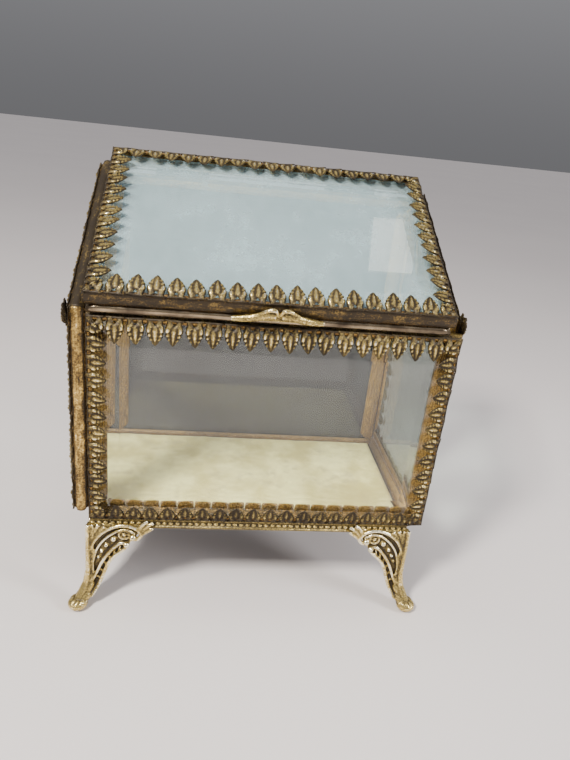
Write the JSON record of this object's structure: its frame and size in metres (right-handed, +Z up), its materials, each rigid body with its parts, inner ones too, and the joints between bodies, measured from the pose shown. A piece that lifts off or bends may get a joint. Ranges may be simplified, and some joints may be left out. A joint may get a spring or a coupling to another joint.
{
  "type": "vanity trinket box",
  "caption": "Slant-lidded trinket box of bevelled glass panes in gilt leaf gallery frames, with a satin floor and scroll feet.",
  "frame": {"origin": "on the surface the toes stand on, under the middle of the box", "axes": "+Z up, -Y towards the thumb lift and the low front, +X to the right seen from the front"},
  "size_m": [0.1088, 0.0678, 0.129],
  "materials": {
    "gilt_brass": "aged gilt over stamped brass, dark in the recesses",
    "aged_brass": "plain brass darkened with age",
    "glass": "clear bevelled plate",
    "satin": "yellowed cream satin",
    "board": "plain board"
  },
  "bodies": {
    "base": {"base_tray": "gilt_brass", "floor_board": "board", "floor_pad": "satin", "foot_front_left": "gilt_brass", "foot_front_right": "gilt_brass", "foot_back_left": "gilt_brass", "foot_back_right": "gilt_brass", "glass_front": "glass", "gallery_front_bottom": "gilt_brass", "gallery_front_right": "gilt_brass", "gallery_front_top": "gilt_brass", "gallery_front_left": "gilt_brass", "glass_back": "glass", "gallery_back_bottom": "gilt_brass", "gallery_back_left": "gilt_brass", "gallery_back_top": "gilt_brass", "gallery_back_right": "gilt_brass", "glass_right": "glass", "gallery_right_bottom": "gilt_brass", "gallery_right_back": "gilt_brass", "gallery_right_top": "gilt_brass", "gallery_right_front": "gilt_brass", "glass_left": "glass", "gallery_left_bottom": "gilt_brass", "gallery_left_back": "gilt_brass", "gallery_left_top": "gilt_brass", "gallery_left_front": "gilt_brass", "hinge_plate_left": "gilt_brass", "hinge_plate_right": "gilt_brass", "hinge_pin_left": "aged_brass", "hinge_pin_right": "aged_brass"},
    "lid": {"glass_lid": "glass", "gallery_lid_front": "gilt_brass", "gallery_lid_right": "gilt_brass", "gallery_lid_back": "gilt_brass", "gallery_lid_left": "gilt_brass", "lid_rail_front": "aged_brass", "lid_rail_right": "aged_brass", "lid_rail_back": "aged_brass", "lid_rail_left": "aged_brass", "hinge_strap_left": "gilt_brass", "hinge_strap_right": "gilt_brass", "thumb_lift": "gilt_brass"}
  },
  "joints": [
    {"name": "lid_hinge", "type": "hinge", "parent": "base", "child": "lid", "pos_m": [0, 0.0293, 0.12059], "axis": [-1, 0, 0], "range_deg": [0, 125]}
  ]
}
